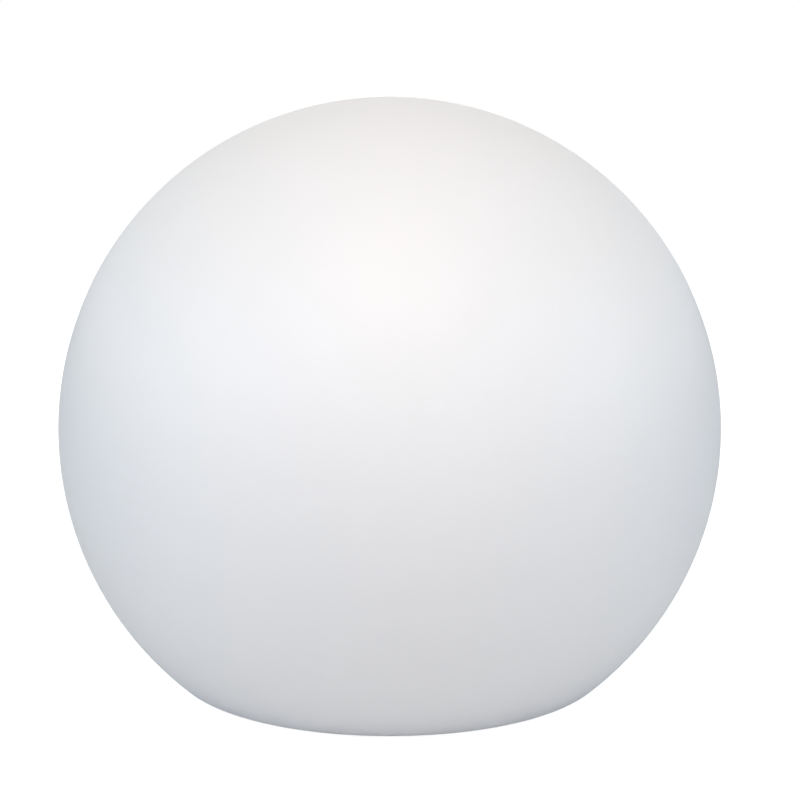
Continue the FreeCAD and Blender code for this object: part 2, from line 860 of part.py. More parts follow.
def on_board(x, y, length, width, height):
    """A block standing on the control board, from its corner."""
    return block(x, x + length, y, y + width, board_top, board_top + height)


def make_board_parts():
    """The larger components on top of the control board: chips, coil, capacitors."""
    parts = [on_board(*chip) for chip in board_chips]
    parts += [rod(radius, x, y, board_top, board_top + height) for x, y, radius, height in board_cans]
    coil = on_board(*board_coil)
    parts.append(coil.makeFillet(board_coil_edge, upright_edges(coil)))
    return Part.makeCompound(parts)


def make_board_connectors():
    """The connector for the lamp wires and the two blocks that take the battery leads."""
    length, width, height = plug_block
    lamp = block(-length / 2, length / 2, led_plug_y() - width, led_plug_y(), board_top, board_top + height)
    shapes = [lamp]
    deep, wide, tall = lead_block
    for side in (-1, 1):
        outer = side * lead_plug_x()
        inner = outer - side * deep
        shapes.append(block(min(outer, inner), max(outer, inner), lead_y - wide / 2, lead_y + wide / 2,
                            board_top, board_top + tall))
    return Part.makeCompound(shapes)


def led_plug_y():
    """The face of the lamp connector where its wires leave."""
    return board_width / 2 - plug_block_inset


def lead_plug_x():
    """The face of a battery connector where its lead leaves."""
    return board_length / 2 - lead_block_inset


def make_switch_body():
    """The push switch under the control board."""
    half = switch_size / 2
    body = block(button_x - half, button_x + half, -half, half, board_z - switch_height, board_z)
    bore = rod(switch_cap_radius + switch_cap_gap, button_x, 0, board_z - switch_height,
               board_z - switch_height + switch_cap_length + button_travel)
    return body.cut(bore)


def switch_cap_z():
    """The underside of the switch's plunger, where the button's stem meets it."""
    return board_z - switch_height - button_travel - switch_cap_float


def make_switch_plunger():
    """The switch's plunger, which moves with the button."""
    high = board_z - switch_height + switch_cap_length - switch_cap_float
    return rod(switch_cap_radius, button_x, 0, switch_cap_z(), high)


def make_power_button():
    """The push button: a dished cap, a flange that keeps it in the cover and a stem to the switch."""
    face = port_floor() + button_sink
    shoulder = button_shoulder() + button_seat_gap
    cap = rod(button_radius, button_x, 0, face, shoulder)
    rim = [e for e in cap.Edges if abs(e.CenterOfMass.z - face) < 1e-6]
    cap = cap.makeFillet(button_edge, rim)
    flange = rod(button_flange_radius, button_x, 0, shoulder, button_top())
    stem = rod(button_stem_radius, button_x, 0, button_top(), switch_cap_z())
    dish_radius = ((button_radius * 0.7) ** 2 + button_dish_depth ** 2) / (2 * button_dish_depth)
    dish = Part.makeSphere(dish_radius, V(button_x, 0, face + button_dish_depth - dish_radius))
    return fused([cap, flange, stem]).cut(dish)


def jack_top():
    """The closed end of the charging socket, above the control board."""
    return board_top + jack_rise


def make_charge_jack():
    """The charging socket: its body stands through the board, on a flange, with its mouth in the cover."""
    mouth = jack_mouth_z() + jack_gap
    body = rod(jack_radius, jack_x, 0, mouth, jack_top())
    flange = rod(jack_radius + jack_flange_width, jack_x, 0, board_z - jack_flange_thickness, board_z)
    bore = rod(jack_bore_radius, jack_x, 0, mouth, jack_top() - jack_wall)
    pin_hole = rod(jack_pin_root_radius, jack_x, 0, jack_top() - jack_wall, jack_top())
    chamfer = Part.makeCone(jack_bore_radius + jack_mouth_edge, jack_bore_radius, jack_mouth_edge,
                            V(jack_x, 0, mouth))
    return without(fused([body, flange]), [bore, pin_hole, chamfer])


def make_jack_pin():
    """The centre pin of the charging socket, with a thicker root in the socket's end wall."""
    tip = jack_mouth_z() + jack_gap + jack_pin_recess
    pin = rod(jack_pin_radius, jack_x, 0, tip, jack_top())
    rim = [e for e in pin.Edges if abs(e.CenterOfMass.z - tip) < 1e-6]
    root = rod(jack_pin_root_radius, jack_x, 0, jack_top() - jack_wall, jack_top())
    return fused([pin.makeChamfer(jack_pin_radius / 4, rim), root])


def make_light_pipe():
    """The clear pipe that carries the charge indicator through the cover."""
    floor = port_floor()
    ledge = cover_top - pipe_flange_height
    low = floor - pipe_tip_rise
    high = low + pipe_tip_height
    tip = Part.makeSphere(pipe_radius * 1.25, V(pipe_x, 0, low + pipe_radius * 1.25))
    dome = rod(pipe_radius, pipe_x, 0, low, high).common(tip)
    stem = rod(pipe_radius, pipe_x, 0, high, board_z - pipe_top_gap)
    flange = rod(pipe_flange_radius, pipe_x, 0, ledge, cover_top)
    return fused([dome, stem, flange])


def make_indicator():
    """The indicator lamp on the board, over the light pipe."""
    length, width, height = indicator_block
    return block(pipe_x - length / 2, pipe_x + length / 2, -width / 2, width / 2, board_z - height, board_z)


def cell_rows():
    """The Y positions of the cells, side by side."""
    pitch = cell_diameter + cell_gap
    return [pitch * (k - (cell_count - 1) / 2) for k in range(cell_count)]


def pack_width():
    """The cells side by side with the cradle's margin on both sides."""
    return cell_rows()[-1] - cell_rows()[0] + cell_diameter + 2 * cradle_margin


def cup_space():
    """The room inside the cup for what is held in it."""
    return Part.makeCylinder(cup_inner_radius - cradle_cup_gap, deck_z)


def make_battery_cells():
    """Round cells lying side by side along X, each with its raised cap at +X."""
    cells = []
    half = cell_length / 2
    for y in cell_rows():
        can_length = cell_length - cell_cap_height
        body = Part.makeCylinder(cell_diameter / 2, can_length, V(-half, y, cell_z), V(1, 0, 0))
        body = body.makeFillet(cell_edge, [e for e in body.Edges if len(e.Vertexes) == 1])
        cap = Part.makeCylinder(cell_cap_radius, can_length, V(half - can_length, y, cell_z), V(1, 0, 0))
        cells.append(body.fuse(cap))
    return Part.makeCompound(cells)


def make_battery_tabs():
    """The nickel strips that join the cells at both ends."""
    half = cell_length / 2
    reach = cell_rows()[-1] + tab_width / 2
    low, high = cell_z - tab_width / 2, cell_z + tab_width / 2
    plus = block(half, half + tab_thickness, -reach, reach, low, high)
    minus = block(-half - tab_thickness, -half, -reach, reach, low, high)
    return Part.makeCompound([plus, minus])


def make_battery_cradle():
    """The moulded cradle: a plate with round-cut saddle ribs, low end walls and ears for its screws."""
    half_x = cell_length / 2 + tab_thickness + cradle_end_gap
    end_x = half_x + cradle_margin
    half_y = pack_width() / 2
    rib_top = cradle_top + cradle_depth
    parts = [block(-end_x, end_x, -half_y, half_y, cradle_z, cradle_top)]
    span = 2 * (half_x - cradle_rib_width - cradle_end_space)
    for k in range(cradle_rib_count):
        x = span * (k / (cradle_rib_count - 1) - 0.5)
        low_x, high_x = x - cradle_rib_width / 2, x + cradle_rib_width / 2
        parts.append(block(low_x, high_x, -half_y, half_y, cradle_z, rib_top))
    wall_top = cell_z - tab_width / 2 - cradle_wall_gap
    parts.append(block(half_x, end_x, -half_y, half_y, cradle_z, wall_top))
    parts.append(block(-end_x, -half_x, -half_y, half_y, cradle_z, wall_top))
    for x, y in cradle_spots():
        inner = half_y - cradle_ear_root
        parts.append(rod(cradle_ear_radius, x, y, cradle_z, cradle_top))
        parts.append(block(x - cradle_ear_radius, x + cradle_ear_radius, min(y, math.copysign(inner, y)),
                           max(y, math.copysign(inner, y)), cradle_z, cradle_top))
    troughs = [
        Part.makeCylinder(cell_diameter / 2 + cell_seat_gap, 2 * half_x, V(-half_x, y, cell_z), V(1, 0, 0))
        for y in cell_rows()
    ]
    holes = [rod(clear_hole(medium_screw), x, y, cradle_z, cradle_top) for x, y in cradle_spots()]
    return without(fused(parts).common(cup_space()), troughs + holes)


def make_battery_straps():
    """Two bent steel straps over the cells, with feet on the cradle's ears."""
    straps = []
    leg_y = pack_width() / 2 + strap_leg_gap
    foot_y = max(abs(y) for _, y in cradle_spots()) + strap_band / 2
    top = strap_z + strap_steel
    for x in sorted({round(x, 6) for x, _ in cradle_spots()}):
        low_x, high_x = x - strap_band / 2, x + strap_band / 2
        outer = block(low_x, high_x, -leg_y - strap_steel, leg_y + strap_steel, cradle_top, top)
        inner = block(low_x, high_x, -leg_y, leg_y, cradle_top, strap_z)
        outer = outer.makeFillet(strap_bend, strap_corners(outer, top))
        inner = inner.makeFillet(strap_bend - strap_steel, strap_corners(inner, strap_z))
        bridge = outer.cut(inner)
        feet = block(low_x, high_x, -foot_y, foot_y, cradle_top, cradle_top + strap_steel)
        gap = block(low_x, high_x, -leg_y, leg_y, cradle_top, cradle_top + strap_steel)
        holes = [
            rod(clear_hole(medium_screw), hx, hy, cradle_top, cradle_top + strap_steel)
            for hx, hy in cradle_spots() if abs(hx - x) < 1e-3
        ]
        straps.append(without(fused([bridge, feet.cut(gap)]).common(cup_space()), holes))
    return Part.makeCompound(straps)


def strap_corners(body, top):
    """The two long top edges of a block, along X."""
    return [
        e for e in body.Edges
        if abs(e.CenterOfMass.z - top) < 1e-6 and abs(abs(e.CenterOfMass.y) - body.BoundBox.YMax) < 1e-6
    ]


def make_cradle_screws():
    """The screws that hold the cradle and the straps to the housing's columns."""
    return Part.makeCompound([
        screw(medium_screw, x, y, cradle_z, cradle_plate + strap_steel + cradle_screw_bite - screw_tip_gap)
        for x, y in cradle_spots()
    ])


def wire(points, bend):
    """A round wire along straight runs, with a tangent arc at each corner."""
    corners = [V(*p) for p in points]
    edges = []
    start = corners[0]
    for before, corner, after in zip(corners, corners[1:], corners[2:]):
        into = (corner - before).normalize()
        away = (after - corner).normalize()
        turn = into.getAngle(away)
        cut = bend * math.tan(turn / 2)
        first, last = corner - into * cut, corner + away * cut
        half_way = (away - into).normalize()
        centre = corner + half_way * (bend / math.cos(turn / 2))
        edges.append(Part.makeLine(start, first))
        edges.append(Part.Arc(first, centre - half_way * bend, last).toShape())
        start = last
    edges.append(Part.makeLine(start, corners[-1]))
    path = Part.Wire(edges)
    section = Part.Wire(Part.makeCircle(wire_radius, corners[0], corners[1] - corners[0]))
    return path.makePipeShell([section], True, False)


def make_led_leads():
    """The lamp's wires: up beside the pack, over it and up through the heat sink."""
    z = board_top + plug_block[2] / 2
    leads = []
    for k in range(wire_count):
        x = wire_pitch * (k - (wire_count - 1) / 2)
        leads.append(wire([
            (x, led_plug_y(), z), (x, led_lead_y, z), (x, led_lead_y, wire_z), (x, 0, wire_z), (x, 0, lamp_z),
        ], wire_bend))
    return Part.makeCompound(leads)


def battery_lead(side):
    """A battery lead from one end strip, round the end of the cradle and down to its connector."""
    tab_x = cell_length / 2 + tab_thickness
    out_x = tab_x + cradle_margin + lead_stand_off
    low = board_top + lead_block[2] / 2
    high = cell_z + tab_width / 4
    return wire([
        (side * tab_x, lead_y, high), (side * out_x, lead_y, high),
        (side * out_x, lead_y, low), (side * lead_plug_x(), lead_y, low),
    ], wire_bend * 0.7)


def make_battery_lead_red():
    """The positive lead."""
    return battery_lead(1)


def make_battery_lead_black():
    """The negative lead."""
    return battery_lead(-1)


def make_heat_sink():
    """The aluminium heat sink on the deck: a round plate with straight fins under it."""
    plate = Part.makeCylinder(sink_radius, sink_plate, V(0, 0, deck_z))
    fin_reach = column_circle - column_radius - fin_edge_gap
    pitch = 2 * (fin_reach - fin_width) / (fin_count - 1)
    fin_low = deck_z - fin_height
    trim = Part.makeCylinder(fin_reach, sink_top - fin_low, V(0, 0, fin_low))
    fins = []
    for k in range(fin_count):
        y = pitch * (k - (fin_count - 1) / 2)
        fin = block(-fin_reach, fin_reach, y - fin_width / 2, y + fin_width / 2, fin_low, deck_z + root_sink)
        fins.append(fin.common(trim))
    holes = [Part.makeCylinder(wire_hole_radius, sink_top, V())]
    holes += column_holes(deck_z, sink_top)
    holes += [
        rod(pilot(medium_screw), x, y, fin_low, sink_top)
        for x, y, _ in spots(lamp_screw_count, lamp_screw_circle)
    ]
    return without(fused([plate] + fins), holes)


def lamp_disc(radius, z0, z1):
    """A disc on the heat sink with the wire hole and the lamp board's screw holes."""
    holes = [Part.makeCylinder(wire_hole_radius, z1 - z0, V(0, 0, z0))]
    holes += [
        rod(clear_hole(medium_screw), x, y, z0, z1)
        for x, y, _ in spots(lamp_screw_count, lamp_screw_circle)
    ]
    return without(Part.makeCylinder(radius, z1 - z0, V(0, 0, z0)), holes)


def make_thermal_pad():
    """The soft pad between the lamp board and the heat sink."""
    return lamp_disc(lamp_board_radius - pad_inset, sink_top, lamp_board_z)


def make_lamp_board():
    """The round aluminium-cored board that carries the light-emitting diodes."""
    return lamp_disc(lamp_board_radius, lamp_board_z, lamp_z)


def make_lamp_diodes():
    """The light-emitting diodes in two rings, each a square package with a round lens."""
    diodes = []
    half = lamp_size / 2
    for count, radius in ((lamp_inner_count, lamp_inner_ring), (lamp_outer_count, lamp_outer_ring)):
        for x, y, turn in spots(count, radius, 180.0 / count):
            body = block(-half, half, -half, half, 0, lamp_height)
            lens_z = lamp_height - lamp_lens_rise
            lens = Part.makeCylinder(lamp_lens_radius, 2 * lamp_lens_rise, V(0, 0, lens_z))
            diode = body.fuse(lens)
            diode.rotate(V(), UP, turn)
            diode.translate(V(x, y, lamp_z))
            diodes.append(diode)
    return Part.makeCompound(diodes)


def make_lamp_connector():
    """The connector over the wire hole of the lamp board."""
    half_x = wire_hole_radius + lamp_plug_overlap
    half_y = half_x / 2
    body = block(-half_x, half_x, -half_y, half_y, lamp_z, lamp_z + lamp_plug_height)
    return body.makeFillet(lamp_plug_edge, upright_edges(body))


def make_lamp_screws():
    """The screws that hold the lamp board to the heat sink."""
    return Part.makeCompound([
        screw(medium_screw, x, y, lamp_z, lamp_z - deck_z, up=False)
        for x, y, _ in spots(lamp_screw_count, lamp_screw_circle)
    ])


def column_holes(z0, z1):
    """Clearance holes over the housing's columns."""
    return [rod(clear_hole(medium_screw), x, y, z0, z1) for x, y, _ in spots(column_count, column_circle)]


def make_dome_seal():
    """The flat seal between the dome's flange and the heat sink."""
    body = ring(sink_radius, lamp_board_radius + dome_seal_gap, sink_top, dome_flange_z)
    return without(body, column_holes(sink_top, dome_flange_z))


def make_diffuser_dome():
    """The frosted dome over the lamp board: a hemisphere on a flange."""
    body = spin(joined([
        Part.makeLine(V(dome_inner_radius, 0, dome_flange_z), V(sink_radius, 0, dome_flange_z)),
        Part.makeLine(V(sink_radius, 0, ring_z), V(dome_radius + dome_fillet, 0, ring_z)),
        arc((0, ring_z), dome_radius, dome_foot_deg(), 90),
        arc((0, ring_z), dome_inner_radius, 90, 0),
    ]))
    return without(body, column_holes(dome_flange_z, ring_z))


def dome_foot_deg():
    """The angle above the flange at which the dome's small foot cone meets its sphere."""
    return math.degrees(dome_fillet / dome_radius)


def make_dome_ring():
    """The ring that clamps the dome, with a recess for each screw head."""
    inner = dome_radius + dome_fillet + ring_gap
    body = spin(polygon([
        (inner, ring_z), (cup_radius, ring_z), (cup_radius, ring_top - ring_edge),
        (cup_radius - ring_edge, ring_top), (inner + ring_edge, ring_top), (inner, ring_top - ring_edge),
    ]))
    cuts = column_holes(ring_z, ring_top)
    cuts += [rod(head_hole(medium_screw), x, y, ring_screw_seat(), ring_top)
             for x, y, _ in spots(column_count, column_circle)]
    return without(body, cuts)


def ring_screw_seat():
    """The level of the shoulder under the dome screws' heads."""
    return ring_top - medium_screw[2] - head_sink


def make_dome_screws():
    """The screws through ring, dome, seal and heat sink into the housing's columns."""
    seat = ring_screw_seat()
    length = seat - deck_z + dome_screw_bite - screw_tip_gap
    return Part.makeCompound([
        screw(medium_screw, x, y, seat, length, up=False) for x, y, _ in spots(column_count, column_circle)
    ])


PARTS = {
    "globe_shell": make_globe_shell,
    "collar_inserts": make_collar_inserts,
    "threaded_collar": make_threaded_collar,
    "collar_gasket": make_collar_gasket,
    "collar_screws": make_collar_screws,
    "globe_seal": make_globe_seal,
    "lamp_housing": make_lamp_housing,
    "base_cover": make_base_cover,
    "cover_seal": make_cover_seal,
    "cover_screws": make_cover_screws,
    "rubber_feet": make_rubber_feet,
    "foot_screws": make_foot_screws,
    "control_board": make_control_board,
    "board_screws": make_board_screws,
    "board_parts": make_board_parts,
    "board_connectors": make_board_connectors,
    "switch_body": make_switch_body,
    "switch_plunger": make_switch_plunger,
    "power_button": make_power_button,
    "charge_jack": make_charge_jack,
    "jack_pin": make_jack_pin,
    "charge_plug": make_charge_plug,
    "plug_anchor": make_plug_anchor,
    "light_pipe": make_light_pipe,
    "indicator": make_indicator,
    "battery_cells": make_battery_cells,
    "battery_tabs": make_battery_tabs,
    "battery_cradle": make_battery_cradle,
    "battery_straps": make_battery_straps,
    "cradle_screws": make_cradle_screws,
    "led_leads": make_led_leads,
    "battery_lead_red": make_battery_lead_red,
    "battery_lead_black": make_battery_lead_black,
    "heat_sink": make_heat_sink,
    "thermal_pad": make_thermal_pad,
    "lamp_board": make_lamp_board,
    "lamp_diodes": make_lamp_diodes,
    "lamp_connector": make_lamp_connector,
    "lamp_screws": make_lamp_screws,
    "dome_seal": make_dome_seal,
    "diffuser_dome": make_diffuser_dome,
    "dome_ring": make_dome_ring,
    "dome_screws": make_dome_screws,
}

os.makedirs("parts", exist_ok=True)
for name, make in PARTS.items():
    shape = make()
    for solid in shape.Solids:
        if not solid.isValid() or solid.Volume <= 0:
            print("bad solid in", name)
    shape.exportStep(os.path.join("parts", name + ".step"))
    box = shape.BoundBox
    print(f"{name}: {len(shape.Solids)} solids, {shape.Volume:.0f} mm3, z {box.ZMin:.2f} to {box.ZMax:.2f}")
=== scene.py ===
import bmesh
import bpy
import json
import math
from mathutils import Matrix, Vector


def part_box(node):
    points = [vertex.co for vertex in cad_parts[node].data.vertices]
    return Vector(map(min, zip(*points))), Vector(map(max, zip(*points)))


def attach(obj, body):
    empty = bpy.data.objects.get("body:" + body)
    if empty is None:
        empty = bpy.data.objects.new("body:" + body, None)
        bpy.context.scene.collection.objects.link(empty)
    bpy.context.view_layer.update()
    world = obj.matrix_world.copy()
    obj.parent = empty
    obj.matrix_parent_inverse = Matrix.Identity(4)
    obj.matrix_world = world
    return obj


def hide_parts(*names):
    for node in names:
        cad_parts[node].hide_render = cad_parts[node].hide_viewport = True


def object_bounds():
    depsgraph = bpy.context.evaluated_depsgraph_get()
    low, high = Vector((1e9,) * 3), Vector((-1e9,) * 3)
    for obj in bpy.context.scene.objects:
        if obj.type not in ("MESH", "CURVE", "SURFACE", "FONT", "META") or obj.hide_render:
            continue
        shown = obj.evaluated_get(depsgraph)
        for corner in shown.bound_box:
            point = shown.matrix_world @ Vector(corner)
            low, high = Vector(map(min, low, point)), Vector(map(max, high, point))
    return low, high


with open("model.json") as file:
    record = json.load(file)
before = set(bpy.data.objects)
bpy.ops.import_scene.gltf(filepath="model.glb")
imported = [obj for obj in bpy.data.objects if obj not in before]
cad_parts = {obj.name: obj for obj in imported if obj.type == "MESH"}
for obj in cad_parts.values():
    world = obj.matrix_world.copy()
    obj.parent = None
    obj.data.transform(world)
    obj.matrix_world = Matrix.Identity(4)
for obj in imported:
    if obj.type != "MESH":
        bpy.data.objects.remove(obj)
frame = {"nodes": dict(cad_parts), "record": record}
CAD_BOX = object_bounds()
NODES = frame["nodes"]
MM = 0.001

# The photograph's frame and the camera
PHOTO_SIDE = 800
FOCAL_PX = 2297.0
SENSOR_MM = 36.0
GLOBE_CENTRE_PX = (389.7, 428.2)
CAMERA_ELEVATION = 11.05
CAMERA_DISTANCE = 1.4

# The globe's sizes, as modelled
GLOBE_RADIUS = 200 * MM
WALL = 3.5 * MM
EDGE_RADIUS = 20 * MM
FLAT_RADIUS = 119.06 * MM
WELL_RADIUS = 84 * MM
WELL_EDGE = 5 * MM
WELL_CORNER = 4 * MM
HOLE_RADIUS = 60.8 * MM
BOSS_CIRCLE = 71 * MM
BOSS_COUNT = 6
BOSS_RADII = (7.45 * MM, 6.8 * MM)
BOSS_EDGE = 1.6 * MM
INSERT_RADIUS = 3.6 * MM
SHELL_LOW, SHELL_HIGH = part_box("globe_shell")
LAND = SHELL_LOW.z
GLOBE_CENTRE = Vector((0, 0, SHELL_HIGH.z - GLOBE_RADIUS))
CEILING, INSERT_TOP = (corner.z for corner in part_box("collar_inserts"))
BOSS_ROOF = 3.2 * MM
BOSS_TOP = INSERT_TOP + BOSS_ROOF


# ---------------------------------------------------------------- node helpers

class Surface:
    """A material's node tree, with short calls for the nodes that the finishes share."""

    def __init__(self, name, colour, roughness, metallic=0.0):
        self.material = bpy.data.materials.new(name)
        self.material.use_nodes = True
        self.tree = self.material.node_tree
        self.bsdf = self.tree.nodes["Principled BSDF"]
        self.set("Base Color", (*colour, 1))
        self.set("Roughness", roughness)
        self.set("Metallic", metallic)
        self.where = self.node("ShaderNodeTexCoord").outputs["Object"]

    def node(self, kind, **values):
        made = self.tree.nodes.new(kind)
        for key, value in values.items():
            if key in made.inputs:
                made.inputs[key].default_value = value
            else:
                setattr(made, key, value)
        return made

    def link(self, source, target):
        self.tree.links.new(source, target)

    def set(self, socket, value):
        self.bsdf.inputs[socket].default_value = value

    def stretched(self, scale):
        """The object's coordinates, scaled by axis."""
        mapping = self.node("ShaderNodeMapping")
        mapping.inputs["Scale"].default_value = scale
        self.link(self.where, mapping.inputs["Vector"])
        return mapping.outputs["Vector"]

    def noise(self, scale, detail=3.0, rough=0.5, where=None):
        """Soft noise from 0 to 1, with its scale in features per metre."""
        made = self.node("ShaderNodeTexNoise", Scale=scale, Detail=detail, Roughness=rough)
        self.link(where or self.where, made.inputs["Vector"])
        return made.outputs["Fac"]

    def voronoi(self, scale, feature="F1", where=None):
        """The distance to scattered points or to the cells' edges."""
        made = self.node("ShaderNodeTexVoronoi", feature=feature, Scale=scale)
        self.link(where or self.where, made.inputs["Vector"])
        return made.outputs["Distance"]

    def spread(self, value, low, high, from_low=0.0, from_high=1.0):
        """The value moved from one range to another and held there."""
        made = self.node("ShaderNodeMapRange")
        made.inputs["From Min"].default_value = from_low
        made.inputs["From Max"].default_value = from_high
        made.inputs["To Min"].default_value = low
        made.inputs["To Max"].default_value = high
        self.link(value, made.inputs["Value"])
        return made.outputs["Result"]

    def mixed(self, share, first, second):
        """Two colours mixed by a share. Each is a colour or another node's output."""
        made = self.node("ShaderNodeMix", data_type="RGBA")
        self.link(share, made.inputs[0])
        for socket, colour in ((made.inputs[6], first), (made.inputs[7], second)):
            if isinstance(colour, tuple):
                socket.default_value = (*colour, 1)
            else:
                self.link(colour, socket)
        return made.outputs[2]

    def math(self, operation, first, second=None):
        made = self.node("ShaderNodeMath", operation=operation)
        for socket, value in zip(made.inputs, (first, second)):
            if isinstance(value, (int, float)):
                socket.default_value = value
            elif value is not None:
                self.link(value, socket)
        return made.outputs["Value"]

    def axis(self, name):
        """The object's X, Y or Z, in metres."""
        split = self.node("ShaderNodeSeparateXYZ")
        self.link(self.where, split.inputs["Vector"])
        return split.outputs[name]

    def radius(self):
        """The distance from the lamp's axis, in metres."""
        x, y = self.axis("X"), self.axis("Y")
        square = self.math("ADD", self.math("MULTIPLY", x, x), self.math("MULTIPLY", y, y))
        return self.math("SQRT", square)

    def colour(self, output):
        self.link(output, self.bsdf.inputs["Base Color"])

    def rough(self, output):
        self.link(output, self.bsdf.inputs["Roughness"])

    def bump(self, *layers):
        """Bumps of (height source, depth in metres), each on top of the last."""
        normal = None
        for height, depth in layers:
            made = self.node("ShaderNodeBump", Strength=1.0, Distance=depth)
            self.link(height, made.inputs["Height"])
            if normal:
                self.link(normal, made.inputs["Normal"])
            normal = made.outputs["Normal"]
        self.link(normal, self.bsdf.inputs["Normal"])


# ---------------------------------------------------------------- finishes

def opal_globe():
    """Rotation-moulded polyethylene: milky, satin, faintly uneven from the mould."""
    s = Surface("opal_globe", (0.93, 0.93, 0.925), 0.42)
    s.colour(s.mixed(s.noise(9, 4), (0.915, 0.915, 0.912), (0.94, 0.94, 0.935)))
    s.rough(s.spread(s.noise(60, 5, 0.6), 0.38, 0.5, 0.3, 0.7))
    s.bump((s.noise(14, 2), 0.25 * MM), (s.noise(900, 4, 0.6), 0.012 * MM))
    s.set("Subsurface Weight", 0.25)
    s.set("Subsurface Radius", (1.0, 1.0, 0.95))
    s.set("Subsurface Scale", 4 * MM)
    s.set("IOR", 1.5)
    return s.material


def moulded(name, low, high, roughness, grain, depth):
    """A moulded plastic with a fine spark-eroded grain and faint rubbed patches."""
    s = Surface(name, high, roughness)
    patches = s.noise(35, 5, 0.65)
    s.colour(s.mixed(s.spread(patches, 0, 1, 0.35, 0.65), low, high))
    s.rough(s.spread(s.noise(140, 4, 0.7), roughness - 0.07, roughness + 0.07, 0.3, 0.7))
    s.bump((s.noise(grain, 3, 0.7), depth))
    return s


def white_plastic():
    low, high = (0.8, 0.8, 0.785), (0.86, 0.86, 0.85)
    return moulded("white_plastic", low, high, 0.42, 2600, 0.02 * MM).material


def grey_plastic():
    """The base cover: a coarser grain, with scuffs from being stood down."""
    low, high = (0.22, 0.225, 0.23), (0.3, 0.31, 0.32)
    s = moulded("grey_plastic", low, high, 0.55, 1900, 0.05 * MM)
    scuffs = s.voronoi(70, "DISTANCE_TO_EDGE", s.stretched((1, 4, 1)))
    worn = s.spread(scuffs, 0.45, 0, 0.0, 0.02)
    base = s.mixed(s.noise(35, 5, 0.65), low, high)
    s.colour(s.mixed(s.math("MULTIPLY", worn, s.noise(55, 4)), base, (0.42, 0.43, 0.44)))
    return s.material


def black_plastic():
    low, high = (0.022, 0.022, 0.024), (0.04, 0.04, 0.042)
    return moulded("black_plastic", low, high, 0.48, 2400, 0.025 * MM).material


def button_plastic():
    """The button's green, under a thin soft-touch coat."""
    s = moulded("button_plastic", (0.09, 0.38, 0.25), (0.13, 0.47, 0.32), 0.38, 2800, 0.015 * MM)
    s.set("Coat Weight", 0.15)
    s.set("Coat Roughness", 0.3)
    return s.material


def clear_plastic():
    s = Surface("clear_plastic", (0.95, 0.97, 0.97), 0.06)
    s.rough(s.spread(s.noise(300, 3), 0.03, 0.12))
    s.bump((s.noise(700, 2), 0.004 * MM))
    s.set("Transmission Weight", 1.0)
    s.set("IOR", 1.49)
    return s.material


def frosted_dome():
    """The dome's frosted acrylic, sandblasted inside."""
    s = Surface("frosted_dome", (0.95, 0.95, 0.94), 0.4)
    s.colour(s.mixed(s.noise(40, 3), (0.93, 0.93, 0.92), (0.96, 0.96, 0.955)))
    s.rough(s.spread(s.noise(180, 4), 0.34, 0.48))
    s.bump((s.noise(2200, 3, 0.7), 0.015 * MM))
    s.set("Transmission Weight", 0.1)
    s.set("Subsurface Weight", 0.5)
    s.set("Subsurface Radius", (1.0, 1.0, 0.97))
    s.set("Subsurface Scale", 3 * MM)
    s.set("IOR", 1.49)
    return s.material


def rubber(name, low, high, roughness=0.75):
    """Moulded rubber: matte, with a fine skin and paler dust in patches."""
    s = Surface(name, high, roughness)
    s.colour(s.mixed(s.spread(s.noise(120, 6, 0.7), 0, 1, 0.4, 0.75), low, high))
    s.rough(s.spread(s.noise(260, 4, 0.6), roughness - 0.1, roughness + 0.1))
    s.bump((s.noise(1500, 4, 0.6), 0.04 * MM))
    s.set("Sheen Weight", 0.2)
    s.set("Sheen Roughness", 0.5)
    return s.material


def foam(name):
    """Closed-cell foam for gaskets: small pores, no shine."""
    s = Surface(name, (0.16, 0.165, 0.17), 0.85)
    pores = s.voronoi(1400)
    s.colour(s.mixed(s.spread(pores, 0, 1, 0.1, 0.6), (0.09, 0.09, 0.095), (0.19, 0.195, 0.2)))
    s.bump((pores, 0.15 * MM), (s.noise(500, 4), 0.05 * MM))
    return s.material


def brushed(name, colour, roughness, along, lines=2500, depth=0.01 * MM):
    """Brushed or drawn metal, with its lines along one axis."""
    s = Surface(name, colour, roughness, 1.0)
    scale = tuple(0.02 if axis == along else 1.0 for axis in "XYZ")
    grain = s.noise(lines, 3, 0.6, s.stretched(scale))
    pale = tuple(min(1.0, c * 1.12) for c in colour)
    dull = tuple(c * 0.8 for c in colour)
    s.colour(s.mixed(s.spread(grain, 0, 1, 0.3, 0.7), dull, pale))
    s.rough(s.spread(s.noise(90, 4), roughness - 0.08, roughness + 0.12))
    s.bump((grain, depth))
    return s


def steel():
    return brushed("steel", (0.6, 0.6, 0.59), 0.3, "X").material


def nickel():
    """Nickel strip with rows of spot welds."""
    s = brushed("nickel", (0.68, 0.66, 0.62), 0.28, "Y")
    s.bump((s.voronoi(420), 0.15 * MM))
    return s.material


def brass():
    s = brushed("brass", (0.72, 0.54, 0.26), 0.3, "Z", 1800)
    s.bump((s.voronoi(1500), 0.1 * MM))
    return s.material


def aluminium():
    """Extruded aluminium, with die lines along its fins."""
    return brushed("aluminium", (0.76, 0.77, 0.78), 0.34, "X", 3000, 0.02 * MM).material


